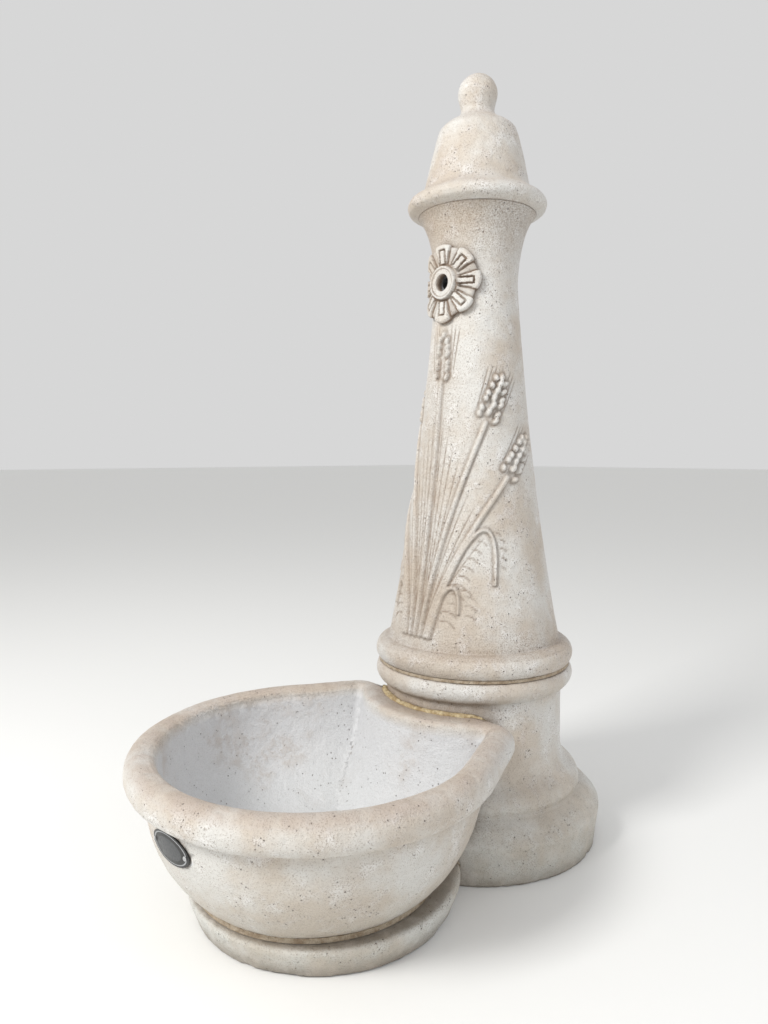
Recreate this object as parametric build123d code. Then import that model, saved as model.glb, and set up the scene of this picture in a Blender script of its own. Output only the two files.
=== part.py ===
from build123d import *
from math import acos, asin, cos, degrees, radians, sin, sqrt
import os

# A free-standing garden drinking fountain in cast stone: a round pedestal, a tapering shaft with a
# loose cap, and a basin on its own foot bedded against the pedestal.  Millimetres, +Z up, front at -Y.
# All pieces are built with the column's axis on Z, then moved so that the origin is under the middle
# of the whole fountain.

# ---- heights of the column, from the ground up
pedestal_height = 256.0
bed_joint = 4.0                 # mortar between the castings, except under the basin
shaft_height = 640.0
cap_height = 200.0

# ---- pedestal casting
drum_r = 130.5                  # the column's width follows this
plinth_spread = 57.5
plinth_draft = 6.5              # the mould's draft leaves the plinth narrower at the ground
plinth_height = 54.0
ogee_shoulder = (14.0, 19.0)    # points of the curved step above the plinth: in from the plinth, up from it
ogee_crease = (27.0, 31.0)
ogee_bulge = (38.5, 51.0)
ogee_foot = (52.0, 68.0)
edge_round = (-4.0, 12.0)       # a point of the plinth's rounded edge, from that edge
ogee_swell = (-4.0, 11.0)       # a point of the step's swelling, from its crease
drum_foot_z = 146.0             # where the drum starts to flare
roll_r = 19.0                   # radius of the two rounded bands at the casting joint
roll_set_in = 3.5               # their centres stand this far inside the drum's face
roll_offset = 13.0              # centre of each band from its casting's joint face
pedestal_wall = 30.5
plinth_wall = 38.0
hollow_step = 10.0              # the wide part of the hollow ends this far below the plinth's edge
hollow_taper = 80.0

# ---- shaft casting
shaft_foot_in = 3.9             # the shaft stands this far inside the drum's face
shaft_hollow = 7.63             # how far the taper is hollowed, half way up
neck_r = 61.0
neck_drop = 108.0               # the narrowest line, below the top of the shaft
shaft_top_r = 84.5
shaft_bore_r = 38.0             # the upper part of the bore, around the outlet elbow
bore_below_outlet = 58.0        # the tapering part of the bore ends this far below the outlet
cap_socket_r = 50.0
cap_socket_depth = 28.0
cap_socket_taper = 20.0

# ---- cap casting
spigot_clearance = 2.0
spigot_length = 20.0
cap_bore_r = 36.0
cap_bore_top = 80.0             # above the seat
brim_reach = 16.0               # how far the brim stands out past the shaft
brim_mid = 14.0                 # height of the brim's widest line above the seat
bell_foot_r = 76.0
bell_foot = 40.0
bell_top_r = 56.0
bell_top = 119.0
ball_r = 29.0
ball_neck_r = 24.8
ball_neck = 147.0
shoulder_drop = 15.0            # the cap's shoulder, measured in and up from the top of the bell
shoulder_rise = 12.0
brim_upper = (-6.0, 8.0)        # ends of the brim's rounding, from its widest line
brim_lower = (-4.0, -9.0)
bell_flare = (7.5, -9.5)        # a point of the curve from brim to bell, from the foot of the bell
bell_belly = 1.2
shoulder_round = (-6.0, 6.6)    # from the top of the bell
neck_hollow = (8.0, -11.0)      # from the ball's neck
ball_swell = (2.8, 9.0)

# ---- rosette round the outlet
outlet_rise = 6.0               # above the narrowest line of the shaft
rosette_r = 52.0
petal_count = 8
petal_bulge_r = 17.0
petal_bulge = 4.0               # how far a petal's end stands outside the rosette's circle
rosette_half_angle = 52.0       # how far it wraps round the shaft, each way
rosette_thickness = 8.5
bedding_thickness = 1.5
collar_r = 22.5
collar_height = 3.0
collar_root = 6.0               # the collar runs this far back into the rosette
outlet_hole_r = 12.0
groove_margin = 6.0             # bare stone between the grooves and the outline
past = 50.0                     # how far a cutting shape runs past what it cuts
petal_groove_width = 3.0
petal_groove_depth = 3.0

# ---- water pipe work, G1/2
thread_r = 9.3                  # minor radius of the female thread that a tap screws into
thread_length = 16.0
pipe_r = 10.6
pipe_wall = 3.1
socket_length = 11.0
socket_wall = 4.4               # of the elbow and the coupling, round the pipe
extension_wall = 2.4            # of the extension, past the pipe's size
extension_recess = 0.5          # its end stands this far inside the shaft's narrowest line
grout_gap = 4.0                 # round the extension, in its cast hole
elbow_reach = 28.0
elbow_bend_r = 16.0
coupling_length = 40.0
coupling_z = 8.0                # its lower face above the ground

# ---- basin casting
basin_standoff = 164.5          # from the drum's face to the basin's centre
rim_r = 231.0
rim_corner_r = 36.0
rim_corner_bulge = 24.0         # how far the back corners stand outside the rim's circle
rim_corner_angle = 36.0         # direction of a back corner, from straight back
rim_top_z = 210.0
rim_depth = 43.0
rim_round = 20.0
rim_overhang = 25.0             # how far the rim stands out past the bowl
bowl_belly_in = 37.0            # the bowl's belly and foot, in from the rim
bowl_foot_in = 77.0
bowl_foot_bulge = 2.0
bowl_mid_z = 99.0
rim_width = 42.0
mouth_corner_r = 4.0
mouth_round = 18.0
back_edge_round = 8.0
back_ledge = 37.0               # from the drum to the mouth's curved back edge
floor_thickness = 22.0
bowl_inside = [                 # the mouth's rounding: in from the mouth, up from the floor, corners' bulge
    (105.0, 0.0, 2.0),
    (67.0, 8.0, 4.0),
    (29.0, 36.0, 12.0),
    (7.0, 80.0, 20.0),
]
# the slope behind the mouth: out from its back edge, up from the floor
back_spread = [(62.0, -5.0), (22.0, 40.0), (6.0, 90.0)]

# ---- basin foot, a separate casting set a little nearer to the column than the basin
foot_set_back = 14.0
foot_height = 38.0
basin_bed = 6.0                 # the thick mortar bed between foot and basin
foot_ledge = 22.0               # how far the foot stands out past the bowl
foot_draft = 14.0
foot_edge_round = 7.0
foot_bore_r = 70.0
mortar_recess = 2.0             # the foot's bed stops this far inside the stone's edge
shaft_mortar_recess = 0.5

# ---- waste fitting, G1 1/4
tail_r = 20.95
tail_wall = 3.95
flange_lip = 12.05              # out past the tail
flange_clearance = 1.0
flange_thickness = 3.0
seal_thickness = 2.0
nut_wall = 10.05
nut_sides = 8
waste_nut_thickness = 9.0
tail_end_z = 6.0
tail_thread_depth = 0.95        # the plain end below is smaller by this, for a 40 mm waste pipe's socket
tail_plain_length = 25.0
tail_clearance = 1.5
grate_seat = 7.0                # out past the tail's bore
grate_sunk = 2.0
grate_thickness = 3.0
grate_clearance = 0.5
grate_slots = 8
grate_slot_r = 12.5             # from the middle of the grate to the middle of a slot
grate_slot = (13.0, 4.0)
grate_eye_r = 2.5

# ---- nameplate, blank
plate_width = 71.0
plate_height = 36.0
plate_thickness = 1.2
plate_sunk = 0.4
plate_z = 142.0
plate_turn = 4.0                # the plate sits a little to the right of the basin's front
rivet_spacing = 60.0
rivet_r = 1.6
rivet_head_r = 2.6
rivet_head = 1.2
rivet_length = 9.0
rivet_shank_end = 0.3           # in its head, above the plate
rivet_head_root = 0.6           # the head's underside, below the plate's face

# ---- sizes and places that follow from those above
plinth_r = drum_r + plinth_spread
plinth_foot_r = plinth_r - plinth_draft
roll_centre_r = drum_r - roll_set_in
pedestal_bore_r = drum_r - pedestal_wall
pedestal_foot_bore_r = plinth_r - plinth_wall
shaft_foot_r = drum_r - shaft_foot_in
shaft_z = pedestal_height + bed_joint
cap_z = shaft_z + shaft_height
neck_z = cap_z - neck_drop
outlet_z = neck_z + outlet_rise
brim_r = shaft_top_r + brim_reach
pipe_bore_r = pipe_r - pipe_wall
elbow_r = pipe_r + socket_wall
coupling_r = pipe_r + socket_wall
extension_r = pipe_r + extension_wall
outlet_hole_wall_r = extension_r + grout_gap
basin_reach = drum_r + basin_standoff
bowl_top_r = rim_r - rim_overhang
bowl_mid_r = rim_r - bowl_belly_in
bowl_foot_r = rim_r - bowl_foot_in
mouth_r = rim_r - rim_width
foot_r = bowl_foot_r + foot_ledge
foot_ground_r = foot_r - foot_draft
tail_bore_r = tail_r - tail_wall
tail_plain_r = tail_r - tail_thread_depth
flange_r = tail_r + flange_lip
waste_nut_r = tail_r + nut_wall
grate_r = tail_bore_r + grate_seat
total_height = cap_z + cap_height
basin_z = foot_height + basin_bed
rim_foot_z = rim_top_z - rim_depth
floor_z = basin_z + floor_thickness
column_y = (basin_reach + rim_r - plinth_r) / 2

placed = Pos(0, column_y, 0)


os.makedirs("parts", exist_ok=True)


def save(shape, node):
    export_step(placed * shape, "parts/" + node + ".step")


def stepped(point, step):
    """The point that lies a step away from another, in radius and height."""
    return (point[0] + step[0], point[1] + step[1])


def lathe(*edges):
    """Turns a closed outline of radii and heights about the column's axis."""
    return revolve(Plane.XZ * make_face(edges), Axis.Z)


def ring(outer_r, inner_r, low, high):
    """A plain ring on the column's axis."""
    tube = Cylinder(outer_r, high - low) - Cylinder(inner_r, high - low)
    return Pos(0, 0, (low + high) / 2) * tube


def rod(r, low, high):
    return Pos(0, 0, (low + high) / 2) * Cylinder(r, high - low)


def forward_rod(r, near, far, z):
    """A rod that points to the front, between two distances from the column's axis."""
    return Pos(0, -(near + far) / 2, z) * Rot(90, 0, 0) * Cylinder(r, far - near)


def at_basin(shape):
    return Pos(0, -basin_reach, 0) * shape


def at_foot(shape):
    return Pos(0, foot_set_back - basin_reach, 0) * shape


# ---- outlines of the column, each with an offset so that what fits against it uses the same line

def pedestal_skin(gap):
    """The pedestal's outside, from the ground to the joint face."""
    roll_z = pedestal_height - roll_offset
    r = roll_r + gap
    low = -degrees(acos((drum_r + gap - roll_centre_r) / r))
    high = degrees(asin(roll_offset / r))
    shoulder, crease, bulge, foot = [
        (plinth_r - inward + gap, plinth_height + up)
        for inward, up in (ogee_shoulder, ogee_crease, ogee_bulge, ogee_foot)
    ]
    edge = (plinth_r + gap, plinth_height)
    drum_foot = (drum_r + gap, drum_foot_z)
    roll = CenterArc((roll_centre_r, roll_z), r, low, high - low)
    return [
        Line((plinth_foot_r + gap, 0), edge),
        ThreePointArc(edge, stepped(edge, edge_round), shoulder),
        Line(shoulder, crease),
        ThreePointArc(crease, stepped(crease, ogee_swell), bulge),
        ThreePointArc(bulge, foot, drum_foot),
        Line(drum_foot, roll @ 0),
        roll,
    ]


def shaft_skin(gap):
    """The shaft's outside above its rounded band."""
    crease_rise = sqrt((roll_r + gap) ** 2 - (shaft_foot_r + gap - roll_centre_r) ** 2)
    foot = (shaft_foot_r + gap, shaft_z + roll_offset + crease_rise)
    neck = (neck_r + gap, neck_z)
    waist = ((foot[0] + neck[0]) / 2 - shaft_hollow, (foot[1] + neck[1]) / 2)
    taper = ThreePointArc(foot, waist, neck)
    throat = TangentArc(neck, (shaft_top_r + gap, cap_z), tangent=taper % 1)
    return [taper, throat]


def pedestal_solid(gap):
    skin = pedestal_skin(gap)
    top = skin[-1] @ 1
    return lathe(
        *skin,
        Line(top, (0, top.Y)),
        Line((0, top.Y), (0, 0)),
        Line((0, 0), (plinth_foot_r + gap, 0)),
    )


def shaft_solid(gap):
    skin = shaft_skin(gap)
    r = roll_r + gap
    roll_z = shaft_z + roll_offset
    start = -degrees(asin(roll_offset / r))
    foot = skin[0] @ 0
    end = degrees(acos((foot.X - roll_centre_r) / r))
    roll = CenterArc((roll_centre_r, roll_z), r, start, end - start)
    top = skin[-1] @ 1
    return lathe(
        roll,
        *skin,
        Line(top, (0, cap_z)),
        Line((0, cap_z), (0, shaft_z)),
        Line((0, shaft_z), roll @ 0),
    )


# ---- column castings

def pedestal():
    hollow_foot = plinth_height - hollow_step
    hollow_top = hollow_foot + hollow_taper
    outline = Polyline(
        (0, 0), (pedestal_foot_bore_r, 0), (pedestal_foot_bore_r, hollow_foot),
        (pedestal_bore_r, hollow_top), (pedestal_bore_r, pedestal_height), (0, pedestal_height), (0, 0),
    )
    return pedestal_solid(0) - lathe(*outline.edges())


def shaft_bore():
    socket_z = cap_z - cap_socket_depth
    outline = Polyline(
        (0, shaft_z), (pedestal_bore_r, shaft_z), (shaft_bore_r, outlet_z - bore_below_outlet),
        (shaft_bore_r, socket_z - cap_socket_taper), (cap_socket_r, socket_z), (cap_socket_r, cap_z),
        (0, cap_z), (0, shaft_z),
    )
    return lathe(*outline.edges())


def shaft_wall():
    """The shaft before its outlet hole is made."""
    return shaft_solid(0) - shaft_bore()


def shaft():
    return shaft_wall() - forward_rod(outlet_hole_wall_r, 0, neck_r + past, outlet_z)


def cap():
    seat_r = shaft_top_r
    spigot_r = cap_socket_r - spigot_clearance
    brim = (brim_r, cap_z + brim_mid)
    brim_top = stepped(brim, brim_upper)
    brim_low = stepped(brim, brim_lower)
    bell_foot_at = (bell_foot_r, cap_z + bell_foot)
    bell_mid = ((bell_foot_r + bell_top_r) / 2 + bell_belly, cap_z + (bell_foot + bell_top) / 2)
    bell_top_at = (bell_top_r, cap_z + bell_top)
    shoulder = (bell_top_r - shoulder_drop, cap_z + bell_top + shoulder_rise)
    neck = (ball_neck_r, cap_z + ball_neck)
    ball_side = (ball_r, total_height - ball_r)
    bore_shoulder = cap_z + cap_bore_top - cap_bore_r
    skin = [
        Line((cap_bore_r, cap_z - spigot_length), (spigot_r, cap_z - spigot_length)),
        Line((spigot_r, cap_z - spigot_length), (spigot_r, cap_z)),
        Line((spigot_r, cap_z), (seat_r, cap_z)),
        Line((seat_r, cap_z), brim_low),
        ThreePointArc(brim_low, brim, brim_top),
        ThreePointArc(brim_top, stepped(bell_foot_at, bell_flare), bell_foot_at),
        ThreePointArc(bell_foot_at, bell_mid, bell_top_at),
        ThreePointArc(bell_top_at, stepped(bell_top_at, shoulder_round), shoulder),
        ThreePointArc(shoulder, stepped(neck, neck_hollow), neck),
        ThreePointArc(neck, stepped(neck, ball_swell), ball_side),
        CenterArc((0, total_height - ball_r), ball_r, 0, 90),
        Line((0, total_height), (0, cap_z + cap_bore_top)),
        CenterArc((0, bore_shoulder), cap_bore_r, 0, 90),
        Line((cap_bore_r, bore_shoulder), (cap_bore_r, cap_z - spigot_length)),
    ]
    return lathe(*skin)


def shaft_bed_mortar():
    face_r = roll_centre_r + sqrt(roll_r ** 2 - roll_offset ** 2)
    return ring(face_r - shaft_mortar_recess, pedestal_bore_r, pedestal_height, shaft_z)


# ---- rosette

def rosette_blank(inner, outer):
    """A slice of the shaft's skin between two offsets, cut to the rosette's petalled outline."""
    outline = Circle(rosette_r)
    for k in range(petal_count):
        petal_end = Pos(rosette_r - petal_bulge_r + petal_bulge, 0) * Circle(petal_bulge_r)
        outline += Rot(0, 0, 360 * k / petal_count) * petal_end
    facing = Plane((0, 0, outlet_z), x_dir=(1, 0, 0), z_dir=(0, -1, 0))
    cutter = extrude(facing * outline, neck_r + past)
    skin_slice = shaft_solid(outer) - shaft_solid(inner)
    reach = 4 * neck_r
    side = (reach * sin(radians(rosette_half_angle)), -reach * cos(radians(rosette_half_angle)))
    corner = (side[0], -reach)
    wedge = make_face(Polyline((0, 0), side, corner, (-corner[0], -reach), (-side[0], side[1]), (0, 0)))
    return cutter & skin_slice & extrude(wedge, total_height)


def rosette():
    body = rosette_blank(bedding_thickness, bedding_thickness + rosette_thickness)
    face = neck_r + bedding_thickness + rosette_thickness
    collar = forward_rod(collar_r, face - collar_root, face + collar_height, outlet_z)
    body += collar - shaft_solid(bedding_thickness)
    groove = shaft_solid(bedding_thickness + rosette_thickness + collar_height)
    groove -= shaft_solid(bedding_thickness + rosette_thickness - petal_groove_depth)
    length = rosette_r - collar_r - groove_margin
    for k in range(2 * petal_count):
        blade = Pos(0, -neck_r, (rosette_r + collar_r) / 2) * Box(petal_groove_width, 2 * neck_r, length)
        blade = Pos(0, 0, outlet_z) * Rot(0, 360 * (k + 0.5) / (2 * petal_count), 0) * blade
        body -= groove & blade
    return body - forward_rod(outlet_hole_r, 0, face + past, outlet_z)


def rosette_bedding():
    body = rosette_blank(0, bedding_thickness)
    return body - forward_rod(outlet_hole_wall_r, 0, neck_r + past, outlet_z)


# ---- basin castings

def basin_outline(r, corner_r, bulge):
    """A circle about the basin's centre, drawn out to a rounded corner on each side at the back.

    The front is at -Y.  Straight tangents join the corners to the circle, and a straight line that
    the column later covers closes the back.
    """
    reach = r + bulge - corner_r
    lean = degrees(acos((r - corner_r) / reach))
    toward = 90.0 - rim_corner_angle
    cx, cy = reach * cos(radians(toward)), reach * sin(radians(toward))
    normal = toward - lean
    front = CenterArc((0, 0), r, normal, -180.0 - 2 * normal)
    right = CenterArc((cx, cy), corner_r, normal, 90.0 - normal)
    left = CenterArc((-cx, cy), corner_r, 90, 90.0 - normal)
    return [
        front,
        Line(left @ 1, front @ 1),
        left,
        Line(right @ 1, left @ 0),
        right,
        Line(front @ 0, right @ 0),
    ]


def basin_section(z, r, corner_r, bulge):
    return Pos(0, 0, z) * make_face(basin_outline(r, corner_r, bulge))


def bowl_arc(gap):
    """The bowl's outside in the XZ plane, from its foot up into the rim, with an offset."""
    top = (bowl_top_r + gap, rim_foot_z + rim_round)
    return ThreePointArc((bowl_foot_r + gap, basin_z), (bowl_mid_r + gap, bowl_mid_z), top)


def bowl_turned(gap):
    """The round front of the bowl as one turned shape, for what is fastened to it."""
    arc = bowl_arc(gap)
    low, high = arc @ 0, arc @ 1
    return lathe(arc, Line(high, (0, high.Y)), Line((0, high.Y), (0, low.Y)), Line((0, low.Y), low))


def bowl_solid():
    """The bowl's outside, below the rim, wide at the top and drawn in to the foot."""
    arc = bowl_arc(0)
    sections = []
    for share in (0.0, 0.3, 0.55, 0.8, 1.0):
        point = arc @ share
        bulge = bowl_foot_bulge + (rim_corner_bulge - bowl_foot_bulge) * share
        sections.append(basin_section(point.Y, point.X, rim_corner_r - rim_r + bowl_top_r, bulge))
    return loft(sections)


def rim_solid():
    slab = extrude(basin_section(rim_foot_z, rim_r, rim_corner_r, rim_corner_bulge), rim_depth)
    return fillet(slab.edges().filter_by(Plane.XY), rim_round)


def mouth_solid():
    """The space inside the basin."""
    lip_z = rim_top_z - mouth_round
    sections = []
    for inward, up, bulge in bowl_inside:
        sections.append(basin_section(floor_z + up, mouth_r - inward, mouth_corner_r, bulge))
    sections.append(basin_section(lip_z, mouth_r, mouth_corner_r, rim_corner_bulge))
    lip = []
    for angle in (0, 35, 65, 90):
        r = mouth_r + mouth_round * (1 - cos(radians(angle)))
        z = lip_z + mouth_round * sin(radians(angle))
        lip.append(basin_section(z, r, mouth_corner_r, rim_corner_bulge))
    return loft(sections) + loft(lip, ruled=True)


def mouth_back():
    """The casting left between the mouth and the column: a cone that spreads towards the floor."""
    back_r = drum_r + back_ledge
    low = floor_z + back_spread[0][1]
    edge_z = rim_top_z - back_edge_round
    slope = Spline(*[(back_r + out, floor_z + up) for out, up in back_spread], (back_r, edge_z))
    return lathe(
        Line((0, low), slope @ 0),
        slope,
        CenterArc((back_r - back_edge_round, edge_z), back_edge_round, 0, 90),
        Line((back_r - back_edge_round, rim_top_z), (0, rim_top_z)),
        Line((0, rim_top_z), (0, low)),
    )


def basin_blank():
    return at_basin(bowl_solid() + rim_solid())


def basin():
    body = basin_blank() - pedestal_solid(bed_joint)
    body -= at_basin(mouth_solid()) - mouth_back()
    body -= at_basin(rod(tail_r + tail_clearance, 0, floor_z))
    body -= at_basin(rod(flange_r + flange_clearance, floor_z - flange_thickness - seal_thickness, floor_z))
    body -= nameplate_blank()
    return body - nameplate_rivets()


def basin_back_mortar():
    joint = pedestal_solid(bed_joint) - pedestal_solid(0)
    return basin_blank() & joint


def foot_blank():
    outline = Polyline(
        (0, 0), (foot_ground_r, 0), (foot_r, foot_height), (0, foot_height), (0, 0),
    )
    body = lathe(*outline.edges())
    body = fillet(body.edges().filter_by(GeomType.CIRCLE).sort_by(Axis.Z)[-1], foot_edge_round)
    return at_foot(body)


def basin_foot():
    body = foot_blank() - pedestal_solid(bed_joint)
    return body - at_foot(rod(foot_bore_r, 0, foot_height))


def foot_back_mortar():
    joint = pedestal_solid(bed_joint) - pedestal_solid(0)
    return foot_blank() & joint


def foot_bed_mortar():
    body = at_basin(rod(bowl_foot_r - mortar_recess, foot_height, basin_z))
    return body - at_foot(rod(foot_bore_r, foot_height, basin_z)) - pedestal_solid(bed_joint)


# ---- water pipe work

def outlet_extension():
    face = neck_r - extension_recess
    body = forward_rod(extension_r, elbow_reach, face, outlet_z)
    body += forward_rod(pipe_r, elbow_reach - socket_length, elbow_reach, outlet_z)
    body -= forward_rod(pipe_bore_r, 0, face, outlet_z)
    return body - forward_rod(thread_r, face - thread_length, face, outlet_z)


def elbow_run(r):
    """A round run from the elbow's lower end, round a quarter bend, to its front end."""
    bend_z = outlet_z - elbow_bend_r
    bend = revolve(Pos(0, 0, bend_z) * Circle(r), Axis((0, -elbow_bend_r, bend_z), (1, 0, 0)), 90)
    down = rod(r, outlet_z - elbow_reach, bend_z)
    return bend + down + forward_rod(r, elbow_bend_r, elbow_reach, outlet_z)


def outlet_elbow():
    low = outlet_z - elbow_reach
    body = elbow_run(elbow_r) - elbow_run(pipe_bore_r)
    body -= forward_rod(pipe_r, elbow_reach - socket_length, elbow_reach, outlet_z)
    return body - rod(pipe_r, low, low + socket_length)


def outlet_grout():
    plug = forward_rod(outlet_hole_wall_r, 0, neck_r + past, outlet_z) & shaft_wall()
    plug -= forward_rod(extension_r, 0, neck_r + past, outlet_z)
    around = 4 * outlet_hole_wall_r
    return plug & Pos(0, -neck_r, outlet_z) * Box(around, 2 * neck_r, around)


def riser_ends():
    return coupling_z + coupling_length - socket_length, outlet_z - elbow_reach + socket_length


def riser_pipe():
    low, high = riser_ends()
    return ring(pipe_r, pipe_bore_r, low, high)


def inlet_coupling():
    low = coupling_z
    high = coupling_z + coupling_length
    body = extrude(Pos(0, 0, low) * RegularPolygon(coupling_r, 6, major_radius=False), coupling_length)
    body -= rod(pipe_bore_r, low, high)
    body -= rod(thread_r, low, low + thread_length)
    return body - rod(pipe_r, high - socket_length, high)


# ---- waste fitting

def flange_low():
    return floor_z - flange_thickness


def waste_body():
    thread_low = tail_end_z + tail_plain_length
    body = rod(flange_r, flange_low(), floor_z) + rod(tail_r, thread_low, floor_z)
    body += rod(tail_plain_r, tail_end_z, thread_low)
    body -= rod(tail_bore_r, tail_end_z, floor_z)
    body -= rod(grate_r + grate_clearance, floor_z - grate_sunk, floor_z)
    return at_basin(body)


def waste_seals():
    upper = ring(flange_r, tail_r, flange_low() - seal_thickness, flange_low())
    lower = ring(waste_nut_r, tail_r, basin_z - seal_thickness, basin_z)
    return at_basin(Compound([upper, lower]))


def waste_nut():
    top = basin_z - seal_thickness
    low = top - waste_nut_thickness
    flats = RegularPolygon(waste_nut_r, nut_sides, major_radius=False)
    body = extrude(Pos(0, 0, low) * flats, waste_nut_thickness)
    return at_basin(body - rod(tail_r, low, top))


def waste_grate():
    low = floor_z - grate_sunk
    body = rod(grate_r, low, low + grate_thickness)
    for k in range(grate_slots):
        slot = Pos(grate_slot_r, 0, 0) * SlotOverall(*grate_slot)
        body -= Rot(0, 0, 360 * k / grate_slots) * extrude(Pos(0, 0, low) * slot, grate_thickness)
    return at_basin(body - rod(grate_eye_r, low, low + grate_thickness))


# ---- nameplate

def plate_radius():
    """The bowl's radius behind the middle of the plate."""
    level = Line((0, plate_z), (bowl_top_r * 2, plate_z))
    return bowl_arc(0).intersect(level).vertices()[0].X


def on_plate(shape):
    return at_basin(Rot(0, 0, plate_turn) * shape)


def nameplate_blank():
    shell = bowl_turned(plate_thickness - plate_sunk) - bowl_turned(-plate_sunk)
    outline = Ellipse(plate_width / 2, plate_height / 2)
    prism = extrude(Plane((0, 0, plate_z), x_dir=(1, 0, 0), z_dir=(0, -1, 0)) * outline, 2 * rim_r)
    return on_plate(shell & prism)


def nameplate_rivets():
    r = plate_radius() + plate_thickness - plate_sunk
    rivets = []
    for side in (-1, 1):
        turn = degrees(asin(side * rivet_spacing / 2 / r))
        shank = forward_rod(rivet_r, r - rivet_length, r + rivet_shank_end, plate_z)
        head = forward_rod(rivet_head_r, r - rivet_head_root, r + rivet_head, plate_z)
        rivets.append(Rot(0, 0, turn) * (shank + head))
    return on_plate(Compound(rivets))


def nameplate():
    return nameplate_blank() - nameplate_rivets()


nodes = {
    "pedestal": pedestal,
    "shaft": shaft,
    "shaft_bed_mortar": shaft_bed_mortar,
    "cap": cap,
    "rosette": rosette,
    "rosette_bedding": rosette_bedding,
    "basin": basin,
    "basin_back_mortar": basin_back_mortar,
    "basin_foot": basin_foot,
    "foot_back_mortar": foot_back_mortar,
    "foot_bed_mortar": foot_bed_mortar,
    "outlet_extension": outlet_extension,
    "outlet_elbow": outlet_elbow,
    "outlet_grout": outlet_grout,
    "riser_pipe": riser_pipe,
    "inlet_coupling": inlet_coupling,
    "waste_body": waste_body,
    "waste_seals": waste_seals,
    "waste_nut": waste_nut,
    "waste_grate": waste_grate,
    "nameplate": nameplate,
    "nameplate_rivets": nameplate_rivets,
}

for node, make in nodes.items():
    save(make(), node)
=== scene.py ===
from math import acos, asin, atan2, cos, degrees, pi, radians, sin, sqrt, tau

import bmesh
import bpy
import numpy as np
from mathutils import Matrix, Vector, noise


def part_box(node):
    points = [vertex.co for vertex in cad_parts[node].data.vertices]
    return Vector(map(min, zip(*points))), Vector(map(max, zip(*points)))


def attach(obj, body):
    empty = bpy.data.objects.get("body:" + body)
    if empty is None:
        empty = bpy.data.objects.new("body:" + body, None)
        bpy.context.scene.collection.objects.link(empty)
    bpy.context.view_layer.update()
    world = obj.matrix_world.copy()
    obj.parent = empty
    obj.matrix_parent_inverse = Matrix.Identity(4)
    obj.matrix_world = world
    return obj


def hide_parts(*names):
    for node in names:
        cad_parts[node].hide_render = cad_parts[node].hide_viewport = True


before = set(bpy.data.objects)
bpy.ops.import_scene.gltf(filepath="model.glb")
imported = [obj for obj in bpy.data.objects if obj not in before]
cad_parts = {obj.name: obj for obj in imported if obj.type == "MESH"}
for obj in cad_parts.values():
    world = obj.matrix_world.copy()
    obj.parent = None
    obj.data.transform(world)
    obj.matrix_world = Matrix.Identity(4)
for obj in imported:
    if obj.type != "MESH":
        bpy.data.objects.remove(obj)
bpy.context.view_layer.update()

# A cast stone drinking fountain: pedestal, tapering shaft with a carved wheat sheaf, loose cap,
# rosette round the outlet, and a basin on its own foot.  Metres; outlines are given in millimetres.
MM = 0.001


# ---------------------------------------------------------------- places taken from the frame

def low(node):
    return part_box(node)[0]


def high(node):
    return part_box(node)[1]


def middle(node):
    return (low(node) + high(node)) / 2


column = Vector((middle("pedestal").x, middle("pedestal").y, 0))
bowl_axis = Vector((middle("waste_body").x, middle("waste_body").y, 0))
pedestal_top = high("pedestal").z / MM
shaft_foot_z = low("shaft").z / MM
shaft_top_z = high("shaft").z / MM
cap_top_z = high("cap").z / MM
plinth_r = (high("pedestal").x - low("pedestal").x) / 2 / MM
brim_r = (high("cap").x - low("cap").x) / 2 / MM
outlet = Vector((middle("outlet_extension").x, low("outlet_extension").y, middle("outlet_extension").z))
outlet_z = outlet.z / MM
neck_r = (column.y - outlet.y) / MM

# measures of the castings themselves, in millimetres
roll_r = 19.0                   # the rounded band on each side of the joint
roll_centre_r = 127.0
roll_offset = 13.0
drum_r = 130.5
drum_foot_z = 148.0
pedestal_bore_r = 100.0
plinth_bore_r = 150.0
plinth_bore_z = 44.0            # the wide part of the hollow ends here and narrows over the next stretch
pedestal_bore_z = 124.0
shaft_foot_r = 126.6
shaft_foot_crease_z = 291.9     # where the taper leaves its rounded band
shaft_top_r = 84.5
shaft_bore_r = 38.0
shaft_bore_end_z = 740.0
cap_socket_r = 50.0
cap_socket_depth = 28.0
cap_socket_taper = 20.0
spigot_r = 48.0
spigot_length = 20.0
cap_bore_r = 36.0
cap_bore_side = 44.0
cap_bore_top = 80.0
bell_foot_r = 76.0
bell_foot = 40.0                # heights above the cap's seat
bell_top_r = 55.8
bell_top = 119.0
ball_r = 29.0
drill_r = 16.0                  # the outlet's hole through the shaft's wall
rosette_hole_r = 12.0
rosette_bed = 1.5


# ---------------------------------------------------------------- making pieces by hand

def nothing_selected():
    if bpy.context.object and bpy.context.object.mode != "OBJECT":
        bpy.ops.object.mode_set(mode="OBJECT")
    bpy.ops.object.select_all(action="DESELECT")


def only(piece):
    nothing_selected()
    piece.select_set(True)
    bpy.context.view_layer.objects.active = piece
    return piece


def placed(piece):
    """Puts the piece's place into its mesh, so that its object sits at the origin."""
    only(piece)
    bpy.ops.object.transform_apply(location=True, rotation=True, scale=True)
    return piece


def applied(piece, kind, **settings):
    only(piece)
    modifier = piece.modifiers.new(kind.title(), kind)
    for key, value in settings.items():
        setattr(modifier, key, value)
    bpy.ops.object.modifier_apply(modifier=modifier.name)
    return piece


def points_of(piece):
    flat = np.empty(len(piece.data.vertices) * 3)
    piece.data.vertices.foreach_get("co", flat)
    return flat.reshape(-1, 3)


def move_points(piece, where):
    piece.data.vertices.foreach_set("co", np.asarray(where, float).ravel())
    piece.data.update()
    return piece


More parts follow.
